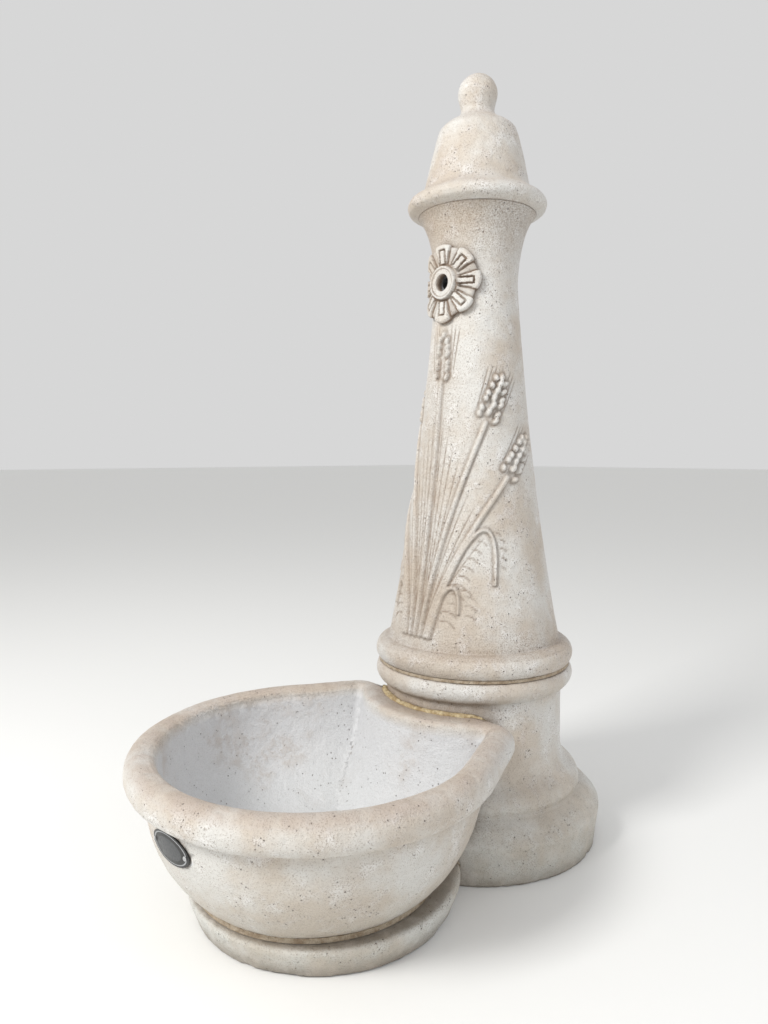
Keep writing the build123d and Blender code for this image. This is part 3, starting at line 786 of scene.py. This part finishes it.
def rosette_height(r, angle, edge):
    """How far the flower stands off its bed, and its patina."""
    off = from_petal(angle)
    aside = abs(r * sin(radians(off)))
    height = 8.4 - 1.2 * max(0.0, (r - 40) / 15) ** 2
    brown = 0.0
    if r < 23.2:
        height = 10.6 + (0.9 if 19.4 < r < 22.4 else 0.0)
        return (height if r < collar_r else 8.0), (0.6 if 18.0 < r < 19.6 else 0.1)
    if r < 25.5:
        return 5.6, 0.9
    seam = abs(r * sin(radians(abs(off) - 15.5)))
    if seam < 1.3:
        height, brown = 4.2, 1.0
    elif abs(off) > 15.5:
        height, brown = 6.0 - 0.03 * (22.5 - abs(off)) ** 2, 0.35
    elif 3.0 < aside < 5.6 and r < 45.5 or aside < 5.6 and 43.0 < r < 45.5:
        height, brown = 4.8, 0.95
    fall = np.clip((edge - r) / 3.0, 0, 1)
    return height * (0.55 + 0.45 * fall**0.5), brown


def make_rosette():
    spokes = 288
    rings = 62
    nothing_selected()
    bpy.ops.mesh.primitive_circle_add(
        vertices=spokes, radius=rosette_hole_r * MM, location=outlet, rotation=(pi / 2, 0, 0)
    )
    piece = bpy.context.object
    piece.name = "rosette_stone"
    bpy.ops.object.mode_set(mode="EDIT")
    bpy.ops.mesh.select_all(action="SELECT")
    last = rosette_hole_r
    for r in [rosette_hole_r + rosette_reach * (k + 1) / rings for k in range(rings)] + hem:
        bpy.ops.mesh.extrude_region_move()
        bpy.ops.transform.resize(value=(r / last, r / last, r / last), center_override=outlet)
        last = r
    bpy.ops.object.mode_set(mode="OBJECT")
    placed(piece)
    where = points_of(piece)
    brown = np.zeros(len(where))
    for k, point in enumerate(where):
        x, z = (point[0] - outlet.x) / MM, (point[2] - outlet.z) / MM
        r, angle = sqrt(x * x + z * z), atan2(z, x)
        edge = rosette_edge(angle)
        share = (r - rosette_hole_r) / rosette_reach
        to = rosette_hole_r + (edge - rosette_hole_r) * min(share, 1.0)
        height, brown[k] = rosette_height(to, angle, edge)
        if share > 1.001:
            height = 2.5 if share < 1.008 else (-1.5 if share < 1.012 else -4.0)
            brown[k] = 0.8
        height += 0.35 * noise.noise(Vector((x, z, 3.0)) / 5)
        across, up = to * cos(angle), to * sin(angle)
        turn = across / (neck_r + 5)
        level = outlet_z + up
        base = np.interp(level, skin_z, skin_r)
        flat = max(base, neck_r) if to > 26 else neck_r
        depth = flat + rosette_bed + max(height, -4.0)
        if to < 26:
            face = neck_r + rosette_bed + height
            where[k] = (outlet.x + across * MM, column.y - face * MM, level * MM)
        else:
            where[k] = (outlet.x + depth * sin(turn) * MM, column.y - depth * cos(turn) * MM, level * MM)
    move_points(piece, where)
    note(piece, "carving", brown)
    only(piece)
    bpy.ops.object.mode_set(mode="EDIT")
    bpy.ops.mesh.select_mode(type="EDGE")
    bpy.ops.mesh.select_all(action="DESELECT")
    # the edge of the hole is drawn back past the bedding, and the two open edges are joined behind
    edit = bmesh.from_edit_mesh(piece.data)
    for e in edit.edges:
        e.select = e.is_boundary and all((v.co.xz - outlet.xz).length < 14 * MM for v in e.verts)
    bmesh.update_edit_mesh(piece.data)
    bpy.ops.mesh.extrude_region_move(TRANSFORM_OT_translate={"value": (0, 16 * MM, 0)})
    bpy.ops.mesh.select_all(action="DESELECT")
    edit = bmesh.from_edit_mesh(piece.data)
    for e in edit.edges:
        e.select = e.is_boundary
    bmesh.update_edit_mesh(piece.data)
    bpy.ops.mesh.bridge_edge_loops()
    bpy.ops.mesh.select_all(action="SELECT")
    bpy.ops.mesh.normals_make_consistent(inside=False)
    bpy.ops.mesh.select_mode(type="VERT")
    bpy.ops.object.mode_set(mode="OBJECT")
    bpy.ops.object.shade_smooth()
    return finished(piece, stone_rosette, "rosette_stone", "fountain", "rosette", "rosette_bedding")


# ---------------------------------------------------------------- basin and its foot

def blank_of(node, name, voxel, smoothing):
    """A casting with curved cuts through it starts as its own blank, meshed evenly and rubbed smooth."""
    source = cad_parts[node]
    piece = bpy.data.objects.new(name, source.data.copy())
    bpy.context.scene.collection.objects.link(piece)
    only(piece)
    bpy.ops.object.mode_set(mode="EDIT")
    bpy.ops.mesh.select_all(action="SELECT")
    bpy.ops.mesh.remove_doubles(threshold=0.01 * MM)
    bpy.ops.object.mode_set(mode="OBJECT")
    piece.data.remesh_voxel_size = voxel * MM
    bpy.ops.object.voxel_remesh()
    applied(piece, "SMOOTH", factor=0.5, iterations=smoothing)
    bpy.ops.object.shade_smooth()
    return piece


def make_basin():
    piece = blank_of("basin", "basin_stone", 3.1, 6)
    worn(piece, 1.6, 0.7, 41)
    where, facing = points_of(piece), outward(piece)
    away = where - np.array(bowl_axis)
    away[:, 2] = 0
    reach = np.linalg.norm(away, axis=1)
    up = where[:, 2] / MM
    rim_top = high("basin").z / MM
    toward = (facing * away).sum(1) / np.maximum(reach, MM)
    inner = (toward < 0.1) | (facing[:, 2] > 0.6)
    inner = inner & (up > low("waste_body").z / MM + 50) & (up < rim_top - 6)
    note(piece, "inside", inner * np.clip((rim_top - 6 - up) / 14, 0, 1))
    note(piece, "rim", np.clip((up - rim_top + 22) / 14, 0, 1))
    return finished(piece, stone_basin, "basin_stone", "fountain", "basin")


def make_foot():
    piece = blank_of("basin_foot", "basin_foot_stone", 2.6, 5)
    worn(piece, 1.2, 0.8, 51)
    chipped(piece, 9, 5.0, 52)
    return finished(piece, stone_foot, "foot_stone", "fountain", "basin_foot")


def make_back_mortar():
    """The joint behind the basin is pointed by hand: its top edge stands proud of the joint in lumps."""
    piece = blank_of("basin_back_mortar", "back_joint_mortar", 1.6, 2)
    where, facing = points_of(piece), outward(piece)
    top_edge = np.clip((where[:, 2] - high("basin_back_mortar").z) / (10 * MM) + 1, 0, 1)
    lumps = 2.6 + 1.6 * wavy(where, 22, 61) + 0.8 * wavy(where, 7, 62)
    move_points(piece, where + facing * (top_edge * np.maximum(lumps, 0) * MM)[:, None])
    return finished(piece, mortar, "mortar", "fountain", "basin_back_mortar")


# ---------------------------------------------------------------- nameplate, blank

def enamelled_plate(name):
    """Black enamel on thin sheet with a plain grey oval field and no lettering."""
    material, tree, shader = empty_material(name)
    half = (high("nameplate") - low("nameplate")) / 2
    centre = tuple(middle("nameplate"))
    here = add(tree, "TexCoord").outputs["Object"]
    from_centre = add(tree, "VectorMath", {0: here, 1: centre}, operation="SUBTRACT").outputs[0]
    stretch = (1 / half.x, 0, 1 / half.z)
    shares = add(tree, "VectorMath", {0: from_centre, 1: stretch}, operation="MULTIPLY").outputs[0]
    out = add(tree, "VectorMath", {0: shares}, operation="LENGTH").outputs["Value"]
    field = spread(tree, out, 0.66, 0.63)
    line = times(tree, spread(tree, out, 0.84, 0.86), spread(tree, out, 0.91, 0.89))
    cloud = add(tree, "TexNoise", {0: here, "Scale": 300.0, "Detail": 4.0}).outputs[0]
    skin = mixed(tree, spread(tree, cloud, 0.4, 0.65), colour("0E0E0F"), colour("191918"))
    skin = mixed(tree, field, skin, colour("3E4042"))
    skin = mixed(tree, line, skin, colour("9A9C9E"))
    tree.links.new(skin, shader.inputs["Base Color"])
    tree.links.new(spread(tree, cloud, 0.35, 0.65, 0.28, 0.42), shader.inputs["Roughness"])
    return material


plate_black = enamelled_plate("black_enamelled_plate")
plate_rivet = metal("bright_aluminium_rivet", "C9CACB", "A5A6A7", 0.3, 600.0)


def dress_frame():
    """Finishes for the CAD nodes that show as they are."""
    looks = {
        "shaft_bed_mortar": old_mortar, "foot_back_mortar": old_mortar,
        "foot_bed_mortar": old_mortar, "outlet_grout": old_mortar,
        "outlet_extension": zinc, "outlet_elbow": brass, "riser_pipe": zinc, "inlet_coupling": brass,
        "waste_body": steel, "waste_nut": brass, "waste_grate": steel, "waste_seals": rubber,
        "nameplate": plate_black, "nameplate_rivets": plate_rivet,
    }
    for node, material in looks.items():
        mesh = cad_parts[node].data
        mesh.materials.clear()
        mesh.materials.append(material)


# ---------------------------------------------------------------- camera, floor and light

def make_camera():
    data = bpy.data.cameras.new("camera")
    data.sensor_fit = "VERTICAL"
    data.sensor_height = 36.0
    data.lens = 26.43
    eye = Vector((0.7390, -0.6768, 0.5588))
    ahead = Vector((-0.7431, 0.6691, 0)).normalized()
    pitch = radians(4.33)
    look = ahead * cos(pitch) + Vector((0, 0, -sin(pitch)))
    right = Vector((ahead.y, -ahead.x, 0))
    over = right.cross(look)
    camera = bpy.data.objects.new("camera", data)
    camera.matrix_world = Matrix.Translation(eye) @ Matrix((right, over, -look)).transposed().to_4x4()
    bpy.context.scene.collection.objects.link(camera)
    bpy.context.scene.camera = camera


def make_floor():
    nothing_selected()
    bpy.ops.mesh.primitive_plane_add(size=60.0, location=(0, 0, -0.0005))
    floor = bpy.context.object
    floor.name = "floor"
    material, tree, shader = empty_material("pale_floor")
    shader.inputs["Base Color"].default_value = colour("EEEEEC")
    shader.inputs["Roughness"].default_value = 0.9
    floor.data.materials.append(material)


def area_light(name, place, target, size, power, tint):
    data = bpy.data.lights.new(name, "AREA")
    data.shape = "SQUARE"
    data.size = size
    data.energy = power
    data.color = colour(tint)[:3]
    lamp = bpy.data.objects.new(name, data)
    lamp.location = place
    lamp.rotation_euler = (Vector(target) - Vector(place)).to_track_quat("-Z", "Y").to_euler()
    bpy.context.scene.collection.objects.link(lamp)


def make_light():
    world = bpy.data.worlds.new("overcast")
    world.use_nodes = True
    background = world.node_tree.nodes["Background"]
    background.inputs[0].default_value = colour("FFFFFF")
    background.inputs[1].default_value = 0.68
    bpy.context.scene.world = world
    area_light("sky_high", (-0.15, -2.2, 2.1), (0, 0, 0.5), 0.8, 62.0, "FFFEFC")
    area_light("sky_right", (2.2, 0.6, 1.8), (0, 0, 0.5), 1.2, 9.0, "EEF3FF")
    bpy.context.scene.view_settings.view_transform = "Standard"


make_camera()
make_floor()
make_light()
dress_frame()
make_pedestal()
make_shaft()
make_cap()
make_rosette()
make_basin()
make_foot()
make_back_mortar()

nothing_selected()
